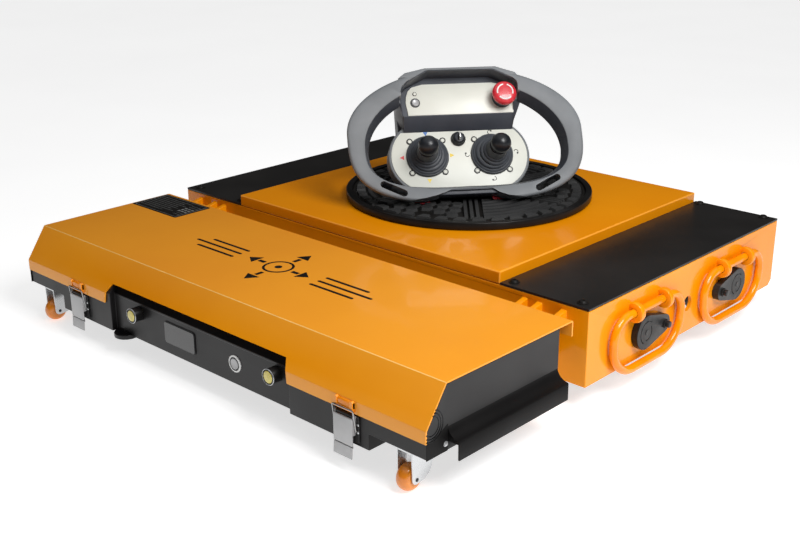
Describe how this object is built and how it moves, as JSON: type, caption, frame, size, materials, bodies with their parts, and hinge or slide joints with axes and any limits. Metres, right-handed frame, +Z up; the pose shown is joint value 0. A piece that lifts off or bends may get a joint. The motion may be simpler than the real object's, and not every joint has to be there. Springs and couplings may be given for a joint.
{
  "type": "mecanum wheel robot",
  "caption": "Low orange machinery mover: turntable trolley on enclosed omnidirectional wheels, docked battery box on casters, two-stick hand control with round grip loop on the turntable.",
  "frame": {"origin": "middle of the bounding box in x and y, on the floor under the wheels", "axes": "+X to the right across the width, +Y from the battery box towards the trolley's far end, +Z up"},
  "size_m": [0.7972, 0.758, 0.3311],
  "materials": {
    "orange_powder_coat": "semi-gloss powder coat",
    "graphite_powder_coat": "satin powder coat",
    "black_coated_steel": "satin coat",
    "black_rubber": "ribbed matte rubber",
    "moulded_lever": "glass-filled moulding, matte",
    "roller_urethane": "satin",
    "brushed_steel": "brushed",
    "zinc_plated_steel": "zinc plated",
    "cast_aluminium": "as cast",
    "orange_polyurethane": "satin",
    "battery_case": "matte",
    "yellow_lens": "gloss",
    "display_glass": "gloss",
    "grey_plastic": "fine texture",
    "slate_plastic": "fine texture",
    "ivory_faceplate": "satin",
    "red_plastic": "semi-gloss",
    "grey_rubber": "matte"
  },
  "bodies": {
    "trolley": {"chassis": "orange_powder_coat", "deck_plate": "orange_powder_coat", "side_cover_left": "black_coated_steel", "side_cover_right": "black_coated_steel", "turntable_bearing": "brushed_steel", "drive_motor_left_front": "cast_aluminium", "drive_motor_left_rear": "cast_aluminium", "drive_motor_right_front": "cast_aluminium", "drive_motor_right_rear": "cast_aluminium"},
    "turntable": {"turntable_plate": "black_coated_steel", "rubber_pad": "black_rubber"},
    "remote": {"remote_housing": "grey_plastic", "remote_back_shell": "slate_plastic", "lower_faceplate": "ivory_faceplate", "upper_faceplate": "ivory_faceplate", "joystick_boot_left": "grey_rubber", "joystick_boot_right": "grey_rubber", "estop_base": "slate_plastic"},
    "estop": {"estop_button": "red_plastic"},
    "key": {"key_switch": "brushed_steel"},
    "remote_push": {"remote_button": "slate_plastic"},
    "box": {"box_tray": "graphite_powder_coat", "battery_pack": "battery_case", "display": "display_glass", "lamp_bezel_left": "zinc_plated_steel", "lamp_bezel_right": "zinc_plated_steel", "fan_frame": "graphite_powder_coat"},
    "lid": {"box_lid": "orange_powder_coat"},
    "power": {"power_button": "zinc_plated_steel"},
    "fan": {"fan_rotor": "moulded_lever"},
    "gimbal_left": {"joystick_gimbal_left": "brushed_steel"},
    "stick_left": {"joystick_stick_left": "slate_plastic"},
    "latch_left": {"latch_lever_left": "brushed_steel"},
    "bail_left": {"latch_bail_left": "zinc_plated_steel"},
    "caster_left": {"caster_fork_left": "zinc_plated_steel"},
    "caster_tread_left": {"caster_wheel_left": "orange_polyurethane"},
    "lamp_left": {"lamp_button_left": "yellow_lens"},
    "gimbal_right": {"joystick_gimbal_right": "brushed_steel"},
    "stick_right": {"joystick_stick_right": "slate_plastic"},
    "latch_right": {"latch_lever_right": "brushed_steel"},
    "bail_right": {"latch_bail_right": "zinc_plated_steel"},
    "caster_right": {"caster_fork_right": "zinc_plated_steel"},
    "caster_tread_right": {"caster_wheel_right": "orange_polyurethane"},
    "lamp_right": {"lamp_button_right": "yellow_lens"},
    "ring_left_front": {"d_ring_left_front": "orange_powder_coat"},
    "wheel_left_front": {"wheel_hub_left_front": "brushed_steel", "roller_cage_left_front": "roller_urethane"},
    "ring_left_rear": {"d_ring_left_rear": "orange_powder_coat"},
    "wheel_left_rear": {"wheel_hub_left_rear": "brushed_steel", "roller_cage_left_rear": "roller_urethane"},
    "ring_right_front": {"d_ring_right_front": "orange_powder_coat"},
    "wheel_right_front": {"wheel_hub_right_front": "brushed_steel", "roller_cage_right_front": "roller_urethane"},
    "ring_right_rear": {"d_ring_right_rear": "orange_powder_coat"},
    "wheel_right_rear": {"wheel_hub_right_rear": "brushed_steel", "roller_cage_right_rear": "roller_urethane"},
    "lever_front": {"release_lever_front": "moulded_lever"},
    "knob_front": {"index_knob_front": "moulded_lever"},
    "lever_rear": {"release_lever_rear": "moulded_lever"},
    "knob_rear": {"index_knob_rear": "moulded_lever"}
  },
  "joints": [
    {"name": "turntable_spin", "type": "hinge", "parent": "trolley", "child": "turntable", "pos_m": [0, 0.1439, 0.15], "axis": [0, 0, 1], "continuous": true},
    {"name": "remote_lift", "type": "slide", "parent": "turntable", "child": "remote", "axis": [0, 0, 1], "range_m": [0, 0.1]},
    {"name": "stick_left_fore_aft", "type": "hinge", "parent": "remote", "child": "gimbal_left", "pos_m": [-0.03513, 0.08924, 0.20171], "axis": [0.6252, 0.7804, 0], "range_deg": [-20, 20], "stiffness_Nm_per_rad": 0.6, "deforming": ["joystick_boot_left"]},
    {"name": "stick_left_sideways", "type": "hinge", "parent": "gimbal_left", "child": "stick_left", "pos_m": [-0.03513, 0.08924, 0.20171], "axis": [-0.4476, 0.3586, 0.8192], "range_deg": [-15, 25], "stiffness_Nm_per_rad": 0.6, "deforming": ["joystick_boot_left"]},
    {"name": "stick_right_fore_aft", "type": "hinge", "parent": "remote", "child": "gimbal_right", "pos_m": [0.0249, 0.16416, 0.20171], "axis": [0.6252, 0.7804, 0], "range_deg": [-20, 20], "stiffness_Nm_per_rad": 0.6, "deforming": ["joystick_boot_right"]},
    {"name": "stick_right_sideways", "type": "hinge", "parent": "gimbal_right", "child": "stick_right", "pos_m": [0.0249, 0.16416, 0.20171], "axis": [-0.4476, 0.3586, 0.8192], "range_deg": [-25, 15], "stiffness_Nm_per_rad": 0.6, "deforming": ["joystick_boot_right"]},
    {"name": "estop_press", "type": "slide", "parent": "remote", "child": "estop", "axis": [-0.6393, 0.5122, -0.5736], "range_m": [0, 0.0035], "stiffness_N_per_m": 800, "springref_m": -0.001},
    {"name": "key_turn", "type": "hinge", "parent": "remote", "child": "key", "pos_m": [-0.01018, 0.13076, 0.22842], "axis": [0.6393, -0.5122, 0.5736], "range_deg": [0, 75]},
    {"name": "remote_push_press", "type": "slide", "parent": "remote", "child": "remote_push", "axis": [-0.6393, 0.5122, -0.5736], "range_m": [0, 0.001], "stiffness_N_per_m": 400, "springref_m": -0.001},
    {"name": "ring_left_front_swing", "type": "hinge", "parent": "trolley", "child": "ring_left_front", "pos_m": [-0.386, 0.0309, 0.1025], "axis": [0, 1, 0], "range_deg": [0, 110]},
    {"name": "ring_left_rear_swing", "type": "hinge", "parent": "trolley", "child": "ring_left_rear", "pos_m": [-0.386, 0.2433, 0.1025], "axis": [0, 1, 0], "range_deg": [0, 110]},
    {"name": "ring_right_front_swing", "type": "hinge", "parent": "trolley", "child": "ring_right_front", "pos_m": [0.386, 0.0309, 0.1025], "axis": [0, -1, 0], "range_deg": [0, 110]},
    {"name": "ring_right_rear_swing", "type": "hinge", "parent": "trolley", "child": "ring_right_rear", "pos_m": [0.386, 0.2433, 0.1025], "axis": [0, -1, 0], "range_deg": [0, 110]},
    {"name": "lever_front_turn", "type": "hinge", "parent": "trolley", "child": "lever_front", "pos_m": [0.3793, 0.0253, 0.0682], "axis": [1, 0, 0], "range_deg": [-10, 10]},
    {"name": "knob_front_pull", "type": "slide", "parent": "lever_front", "child": "knob_front", "axis": [1, 0, 0], "range_m": [0, 0.006], "stiffness_N_per_m": 300, "springref_m": -0.002},
    {"name": "lever_rear_turn", "type": "hinge", "parent": "trolley", "child": "lever_rear", "pos_m": [0.3793, 0.2537, 0.0682], "axis": [1, 0, 0], "range_deg": [-10, 10]},
    {"name": "knob_rear_pull", "type": "slide", "parent": "lever_rear", "child": "knob_rear", "axis": [1, 0, 0], "range_m": [0, 0.006], "stiffness_N_per_m": 300, "springref_m": -0.002},
    {"name": "wheel_left_front_spin", "type": "hinge", "parent": "trolley", "child": "wheel_left_front", "pos_m": [-0.32, -0.0204, 0.05], "axis": [1, 0, 0], "continuous": true},
    {"name": "wheel_left_rear_spin", "type": "hinge", "parent": "trolley", "child": "wheel_left_rear", "pos_m": [-0.32, 0.2946, 0.05], "axis": [1, 0, 0], "continuous": true},
    {"name": "wheel_right_front_spin", "type": "hinge", "parent": "trolley", "child": "wheel_right_front", "pos_m": [0.32, -0.0204, 0.05], "axis": [1, 0, 0], "continuous": true},
    {"name": "wheel_right_rear_spin", "type": "hinge", "parent": "trolley", "child": "wheel_right_rear", "pos_m": [0.32, 0.2946, 0.05], "axis": [1, 0, 0], "continuous": true},
    {"name": "box_dock", "type": "slide", "parent": "trolley", "child": "box", "axis": [0, 0, 1], "range_m": [0, 0.08]},
    {"name": "lid_lift", "type": "slide", "parent": "box", "child": "lid", "axis": [0, 0, 1], "range_m": [0, 0.12]},
    {"name": "latch_left_open", "type": "hinge", "parent": "box", "child": "latch_left", "pos_m": [-0.2525, -0.3734, 0.0653], "axis": [-1, 0, 0], "range_deg": [0, 98]},
    {"name": "bail_left_swing", "type": "hinge", "parent": "latch_left", "child": "bail_left", "pos_m": [-0.2525, -0.3734, 0.048], "axis": [-1, 0, 0], "range_deg": [-98, 0]},
    {"name": "latch_right_open", "type": "hinge", "parent": "box", "child": "latch_right", "pos_m": [0.2655, -0.3734, 0.0653], "axis": [-1, 0, 0], "range_deg": [0, 98]},
    {"name": "bail_right_swing", "type": "hinge", "parent": "latch_right", "child": "bail_right", "pos_m": [0.2655, -0.3734, 0.048], "axis": [-1, 0, 0], "range_deg": [-98, 0]},
    {"name": "caster_left_swivel", "type": "hinge", "parent": "box", "child": "caster_left", "pos_m": [-0.3415, -0.3474, 0.05], "axis": [0, 0, 1], "continuous": true},
    {"name": "caster_left_roll", "type": "hinge", "parent": "caster_left", "child": "caster_tread_left", "pos_m": [-0.3415, -0.3604, 0.0155], "axis": [1, 0, 0], "continuous": true},
    {"name": "caster_right_swivel", "type": "hinge", "parent": "box", "child": "caster_right", "pos_m": [0.3458, -0.3474, 0.05], "axis": [0, 0, 1], "continuous": true},
    {"name": "caster_right_roll", "type": "hinge", "parent": "caster_right", "child": "caster_tread_right", "pos_m": [0.3458, -0.3604, 0.0155], "axis": [1, 0, 0], "continuous": true},
    {"name": "lamp_left_press", "type": "slide", "parent": "box", "child": "lamp_left", "axis": [0, 1, 0], "range_m": [0, 0.002], "stiffness_N_per_m": 400, "springref_m": -0.001},
    {"name": "lamp_right_press", "type": "slide", "parent": "box", "child": "lamp_right", "axis": [0, 1, 0], "range_m": [0, 0.002], "stiffness_N_per_m": 400, "springref_m": -0.001},
    {"name": "power_press", "type": "slide", "parent": "box", "child": "power", "axis": [0, 1, 0], "range_m": [0, 0.0015], "stiffness_N_per_m": 400, "springref_m": -0.001},
    {"name": "fan_spin", "type": "hinge", "parent": "box", "child": "fan", "pos_m": [0.3712, -0.3304, 0.082], "axis": [1, 0, 0], "continuous": true}
  ],
  "couplings": [
    {"joint": "bail_left_swing", "follows": "latch_left_open", "ratio": -1},
    {"joint": "bail_right_swing", "follows": "latch_right_open", "ratio": -1}
  ]
}
